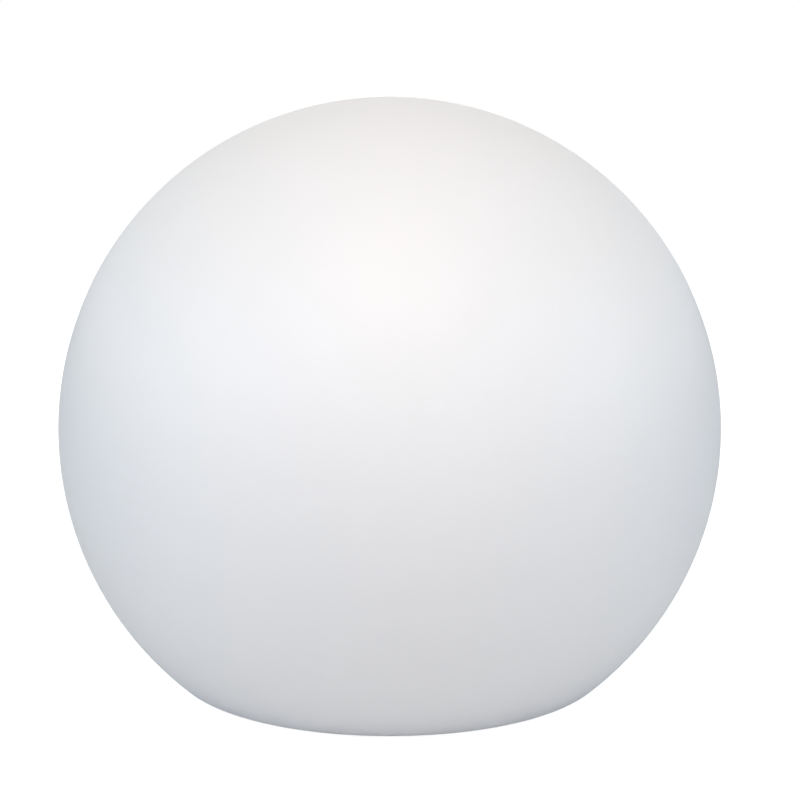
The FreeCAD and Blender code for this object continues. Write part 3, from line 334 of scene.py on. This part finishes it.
def board_green():
    """Solder mask over copper tracks, with plated holes."""
    s = Surface("board_green", (0.02, 0.14, 0.06), 0.32)
    tracks = s.node("ShaderNodeTexBrick", Scale=170.0)
    tracks.inputs["Mortar Size"].default_value = 0.04
    tracks.inputs["Color1"].default_value = (0, 0, 0, 1)
    tracks.inputs["Color2"].default_value = (0, 0, 0, 1)
    tracks.inputs["Mortar"].default_value = (1, 1, 1, 1)
    s.link(s.where, tracks.inputs["Vector"])
    holes = s.spread(s.voronoi(260), 1, 0, 0.06, 0.1)
    masked = s.mixed(tracks.outputs["Color"], (0.015, 0.12, 0.05), (0.03, 0.22, 0.09))
    s.colour(s.mixed(holes, masked, (0.75, 0.6, 0.35)))
    s.bump((tracks.outputs["Fac"], 0.03 * MM), (s.noise(900, 3), 0.01 * MM))
    s.set("Coat Weight", 0.4)
    s.set("Coat Roughness", 0.2)
    return s.material


def board_white():
    """The lamp board's white mask, with ring-shaped tracks under it."""
    s = Surface("board_white", (0.88, 0.88, 0.86), 0.35)
    rings = s.math("SINE", s.math("MULTIPLY", s.radius(), 1100.0))
    edges = s.spread(rings, 0, 1, 0.86, 0.96)
    s.colour(s.mixed(edges, (0.88, 0.88, 0.86), (0.78, 0.77, 0.72)))
    s.bump((edges, 0.03 * MM), (s.noise(1200, 3), 0.008 * MM))
    s.set("Coat Weight", 0.3)
    s.set("Coat Roughness", 0.25)
    return s.material


CELL_CAP = 1.0 * MM
CELL_RING = 2.2 * MM
CELL_BACK = 0.6 * MM


def cell_wrap():
    """Shrink wrap round a steel can: coloured sides, bare ends, and a pale ring by the cap."""
    s = Surface("cell_wrap", (0.08, 0.3, 0.5), 0.3)
    low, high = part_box("battery_cells")
    along = s.axis("X")
    can = s.math("GREATER_THAN", along, high.x - CELL_CAP)
    collar = s.math("GREATER_THAN", along, high.x - CELL_RING)
    back = s.math("LESS_THAN", along, low.x + CELL_BACK)
    wrap = s.mixed(s.noise(80, 4), (0.06, 0.25, 0.44), (0.09, 0.33, 0.54))
    ringed = s.mixed(collar, wrap, (0.8, 0.8, 0.78))
    metal = s.math("MAXIMUM", can, back)
    s.colour(s.mixed(metal, ringed, (0.62, 0.62, 0.6)))
    s.link(metal, s.bsdf.inputs["Metallic"])
    s.bump((s.noise(220, 4), 0.05 * MM))
    return s.material


LENS_DEPTH = 0.15 * MM


def diode():
    """A white ceramic package with a yellow phosphor lens on top."""
    s = Surface("diode", (0.9, 0.9, 0.88), 0.4)
    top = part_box("lamp_diodes")[1].z
    lens = s.math("GREATER_THAN", s.axis("Z"), top - LENS_DEPTH)
    phosphor = s.mixed(s.noise(2500, 3), (0.85, 0.68, 0.14), (0.95, 0.82, 0.3))
    s.colour(s.mixed(lens, (0.9, 0.9, 0.88), phosphor))
    s.bump((s.noise(1800, 3), 0.02 * MM))
    return s.material


def wire_cover(name, colour):
    """Soft wire insulation, slightly uneven and glossy."""
    s = Surface(name, colour, 0.4)
    dark = tuple(c * 0.82 for c in colour)
    s.colour(s.mixed(s.noise(220, 3), dark, colour))
    s.rough(s.spread(s.noise(400, 3), 0.32, 0.5))
    s.bump((s.noise(900, 3), 0.02 * MM))
    return s.material


FINISHES = {
    "opal_globe": opal_globe(),
    "white_plastic": white_plastic(),
    "grey_plastic": grey_plastic(),
    "black_plastic": black_plastic(),
    "button_plastic": button_plastic(),
    "clear_plastic": clear_plastic(),
    "frosted_dome": frosted_dome(),
    "grey_rubber": foam("grey_rubber"),
    "black_rubber": rubber("black_rubber", (0.018, 0.018, 0.019), (0.035, 0.035, 0.036)),
    "steel": steel(),
    "nickel": nickel(),
    "brass": brass(),
    "aluminium": aluminium(),
    "board_green": board_green(),
    "board_white": board_white(),
    "cell_wrap": cell_wrap(),
    "diode": diode(),
    "red_wire": wire_cover("red_wire", (0.55, 0.03, 0.025)),
    "black_wire": wire_cover("black_wire", (0.02, 0.02, 0.02)),
    "white_wire": wire_cover("white_wire", (0.8, 0.8, 0.77)),
}


def finish_nodes():
    """Gives each carried-over node the finish of its slot."""
    for row in frame["record"]["subparts"]:
        node = NODES[row["node"]]
        node.data.materials.clear()
        node.data.materials.append(FINISHES[row["material_slot"]])


# ---------------------------------------------------------------- globe

SEGMENTS = 192
BOSS_SEGMENTS = 48
INSERT_SEGMENTS = 32
OUTER_STEP_DEG = 2.0
INNER_STEP_DEG = 4.0
BOSS_STEP_DEG = 15.0
SMOOTH_BELOW_DEG = 30.0


def loop(bm, radius, z, centre=(0.0, 0.0), count=SEGMENTS):
    """A ring of points round an upright axis."""
    turns = [math.tau * k / count for k in range(count)]
    return [
        bm.verts.new((centre[0] + radius * math.cos(t), centre[1] + radius * math.sin(t), z)) for t in turns
    ]


def bridge(bm, first, second):
    """Faces between two rings of as many points."""
    for a, b, c, d in zip(first, first[1:] + first[:1], second[1:] + second[:1], second):
        bm.faces.new((a, b, c, d))


def fan(bm, ring, tip):
    """Faces from a ring to one point."""
    for a, b in zip(ring, ring[1:] + ring[:1]):
        bm.faces.new((a, b, tip))


def flat_fill(bm, rings):
    """A flat face between the first ring, its outer edge, and the others, its holes."""
    edges = []
    for ring in rings:
        for pair in zip(ring, ring[1:] + ring[:1]):
            edges.append(bm.edges.get(pair) or bm.edges.new(pair))
    bmesh.ops.triangle_fill(bm, use_beauty=True, edges=edges)


def arc_points(centre, radius, start, end, step):
    """Points (radius, height) along an arc, in steps of about that many degrees, both ends included."""
    count = max(1, round(abs(end - start) / step))
    turns = [math.radians(start + (end - start) * k / count) for k in range(count + 1)]
    return [(centre[0] + radius * math.cos(t), centre[1] + radius * math.sin(t)) for t in turns]


def globe_outline(inset, step):
    """The globe's outline from near the pole to the well's ceiling, moved into the wall by inset."""
    edge = (FLAT_RADIUS, LAND + EDGE_RADIUS)
    edge_deg = math.degrees(math.atan2(edge[1] - GLOBE_CENTRE.z, FLAT_RADIUS))
    lip = (WELL_RADIUS + WELL_EDGE, LAND + WELL_EDGE)
    corner = (WELL_RADIUS - WELL_CORNER, CEILING - WELL_CORNER)
    points = arc_points((0, GLOBE_CENTRE.z), GLOBE_RADIUS - inset, 90, edge_deg, step)[1:]
    points += arc_points(edge, EDGE_RADIUS - inset, edge_deg, -90, 2 * step)[1:]
    points += arc_points(lip, WELL_EDGE - inset, 270, 180, 6 * step)
    points += arc_points(corner, WELL_CORNER + inset, 0, 90, 6 * step)
    return points


def lathe(bm, points):
    """Rings at each point of an outline, joined in order. Returns the first and the last ring."""
    rings = [loop(bm, radius, z) for radius, z in points]
    for first, second in zip(rings, rings[1:]):
        bridge(bm, first, second)
    return rings[0], rings[-1]


def shell_surface(bm, inset, step):
    """One side of the globe's wall, pole included. Returns its last ring, at the well's ceiling."""
    first, last = lathe(bm, globe_outline(inset, step))
    fan(bm, first, bm.verts.new((0, 0, GLOBE_CENTRE.z + GLOBE_RADIUS - inset)))
    return last


def boss(bm, centre):
    """A boss over an insert. Returns the rings where its blind hole and its foot meet the ceiling."""
    wide, narrow = BOSS_RADII
    top = BOSS_TOP - BOSS_EDGE
    rounding = arc_points((narrow - BOSS_EDGE, top), BOSS_EDGE, 0, 90, BOSS_STEP_DEG)
    sides = [(wide, CEILING + WALL)] + rounding
    rings = [loop(bm, radius, z, centre, BOSS_SEGMENTS) for radius, z in sides]
    for first, second in zip(rings, rings[1:]):
        bridge(bm, first, second)
    fan(bm, rings[-1], bm.verts.new((*centre, BOSS_TOP)))
    mouth = loop(bm, INSERT_RADIUS, CEILING, centre, INSERT_SEGMENTS)
    end = loop(bm, INSERT_RADIUS, INSERT_TOP, centre, INSERT_SEGMENTS)
    bridge(bm, mouth, end)
    fan(bm, end, bm.verts.new((*centre, INSERT_TOP)))
    return mouth, rings[0]


def make_globe():
    """The moulded globe as one smooth closed mesh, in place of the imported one."""
    bm = bmesh.new()
    outer = shell_surface(bm, 0.0, OUTER_STEP_DEG)
    inner = shell_surface(bm, WALL, INNER_STEP_DEG)
    low_rim, high_rim = loop(bm, HOLE_RADIUS, CEILING), loop(bm, HOLE_RADIUS, CEILING + WALL)
    bridge(bm, low_rim, high_rim)
    turns = [math.tau * k / BOSS_COUNT for k in range(BOSS_COUNT)]
    bosses = [boss(bm, (BOSS_CIRCLE * math.cos(t), BOSS_CIRCLE * math.sin(t))) for t in turns]
    flat_fill(bm, [outer, low_rim] + [mouth for mouth, _ in bosses])
    flat_fill(bm, [inner, high_rim] + [foot for _, foot in bosses])
    bmesh.ops.recalc_face_normals(bm, faces=bm.faces)
    for edge in bm.edges:
        edge.smooth = edge.calc_face_angle(0) < math.radians(SMOOTH_BELOW_DEG)
    for face in bm.faces:
        face.smooth = True
    mesh = bpy.data.meshes.new("globe_skin")
    bm.to_mesh(mesh)
    bm.free()
    skin = bpy.data.objects.new("globe_skin", mesh)
    bpy.context.scene.collection.objects.link(skin)
    mesh.materials.append(FINISHES["opal_globe"])
    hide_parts("globe_shell")
    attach(skin, "globe")


# ---------------------------------------------------------------- stage, light and camera

FLOOR_RADIUS = 30.0
FLOOR_SEGMENTS = 96
FLOOR_DROP = 0.05 * MM
FLOOR_TONE = 0.8
FLOOR_GLOW = 0.82
LAMPS = (
    # name, azimuth and elevation in degrees, distance and width in metres, watts, colour
    ("key", 0, 60, 1.6, 1.4, 7.95, (1.0, 0.82, 0.62)),
    ("front", 0, 35, 1.6, 1.4, 3.72, (1.0, 0.99, 0.757)),
    ("left", -75, 20, 1.8, 1.4, 3.61, (0.62, 0.93, 1.0)),
    ("right", 75, 20, 1.8, 1.4, 6.65, (0.62, 0.864, 1.0)),
    ("left_high", -40, 30, 1.8, 1.4, 7.85, (0.64, 0.725, 1.0)),
    ("right_high", 40, 30, 1.8, 1.4, 3.28, (0.72, 0.65, 1.0)),
    ("back", 180, 12, 1.8, 0.9, 7.5, (1.0, 1.0, 1.0)),
    ("under", 0, -90, 0.17, 0.25, 0.45, (1.0, 1.0, 1.0)),
)
# Lamps that light the sides away from the camera and are kept out of reflections
NO_REFLECTION = ("back", "under")
WORLD_FILL = (0.262, 0.261, 0.265)


def placed(azimuth, elevation, distance):
    """A point round the globe's centre. Azimuth 0 is the camera's side, -Y."""
    a, e = math.radians(azimuth), math.radians(elevation)
    way = Vector((math.sin(a) * math.cos(e), -math.cos(a) * math.cos(e), math.sin(e)))
    return GLOBE_CENTRE + way * distance


def make_lamps():
    for name, azimuth, elevation, distance, width, watts, colour in LAMPS:
        data = bpy.data.lights.new(name, "AREA")
        data.shape = "DISK"
        data.size = width
        data.energy = watts
        data.color = colour
        lamp = bpy.data.objects.new(name, data)
        lamp.location = placed(azimuth, elevation, distance)
        lamp.rotation_euler = (GLOBE_CENTRE - lamp.location).to_track_quat("-Z", "Y").to_euler()
        lamp.visible_glossy = name not in NO_REFLECTION
        bpy.context.scene.collection.objects.link(lamp)


def make_world():
    """An even surround: white to the camera, in reflections and through glass, else a plain fill."""
    world = bpy.data.worlds.new("studio")
    bpy.context.scene.world = world
    world.use_nodes = True
    tree = world.node_tree
    path = tree.nodes.new("ShaderNodeLightPath")
    seen = path.outputs["Is Camera Ray"]
    for kind in ("Is Glossy Ray", "Is Transmission Ray"):
        either = tree.nodes.new("ShaderNodeMath")
        either.operation = "MAXIMUM"
        tree.links.new(seen, either.inputs[0])
        tree.links.new(path.outputs[kind], either.inputs[1])
        seen = either.outputs[0]
    colour = tree.nodes.new("ShaderNodeMix")
    colour.data_type = "RGBA"
    colour.inputs[6].default_value = (*WORLD_FILL, 1)
    colour.inputs[7].default_value = (1, 1, 1, 1)
    tree.links.new(seen, colour.inputs[0])
    tree.links.new(colour.outputs[2], tree.nodes["Background"].inputs["Color"])
    tree.nodes["Background"].inputs["Strength"].default_value = 1.0


def make_floor():
    """A wide pale disc, white to the camera away from the object's shadow."""
    mesh = bpy.data.meshes.new("floor")
    bm = bmesh.new()
    bmesh.ops.create_circle(bm, cap_ends=True, segments=FLOOR_SEGMENTS, radius=FLOOR_RADIUS)
    bm.to_mesh(mesh)
    bm.free()
    floor = bpy.data.objects.new("floor", mesh)
    floor.location = (0, 0, CAD_BOX[0].z - FLOOR_DROP)
    bpy.context.scene.collection.objects.link(floor)
    mesh.materials.append(floor_finish())


def floor_finish():
    """A light table's top: matt white, with a glow for the camera alone. Light from under it comes
    through, and it is clear to a camera below it."""
    s = Surface("floor", (FLOOR_TONE, FLOOR_TONE, FLOOR_TONE), 0.9)
    s.set("Specular IOR Level", 0.0)
    path = s.node("ShaderNodeLightPath")
    glow = s.node("ShaderNodeEmission")
    s.link(s.math("MULTIPLY", path.outputs["Is Camera Ray"], FLOOR_GLOW), glow.inputs["Strength"])
    both = s.node("ShaderNodeAddShader")
    s.link(s.bsdf.outputs[0], both.inputs[0])
    s.link(glow.outputs[0], both.inputs[1])
    mix = s.node("ShaderNodeMixShader")
    below = s.node("ShaderNodeNewGeometry").outputs["Backfacing"]
    s.link(s.math("MAXIMUM", below, path.outputs["Is Shadow Ray"]), mix.inputs[0])
    s.link(both.outputs[0], mix.inputs[1])
    s.link(s.node("ShaderNodeBsdfTransparent").outputs[0], mix.inputs[2])
    s.link(mix.outputs[0], s.tree.nodes["Material Output"].inputs["Surface"])
    return s.material


def make_camera():
    data = bpy.data.cameras.new("camera")
    data.sensor_width = SENSOR_MM
    data.lens = FOCAL_PX / PHOTO_SIDE * SENSOR_MM
    data.shift_x = (PHOTO_SIDE / 2 - GLOBE_CENTRE_PX[0]) / PHOTO_SIDE
    data.shift_y = (GLOBE_CENTRE_PX[1] - PHOTO_SIDE / 2) / PHOTO_SIDE
    camera = bpy.data.objects.new("camera", data)
    camera.location = placed(0, CAMERA_ELEVATION, CAMERA_DISTANCE)
    camera.rotation_euler = (GLOBE_CENTRE - camera.location).to_track_quat("-Z", "Y").to_euler()
    bpy.context.scene.collection.objects.link(camera)
    bpy.context.scene.camera = camera


finish_nodes()
make_globe()
make_lamps()
make_world()
make_floor()
make_camera()
bpy.context.scene.view_settings.view_transform = "Standard"
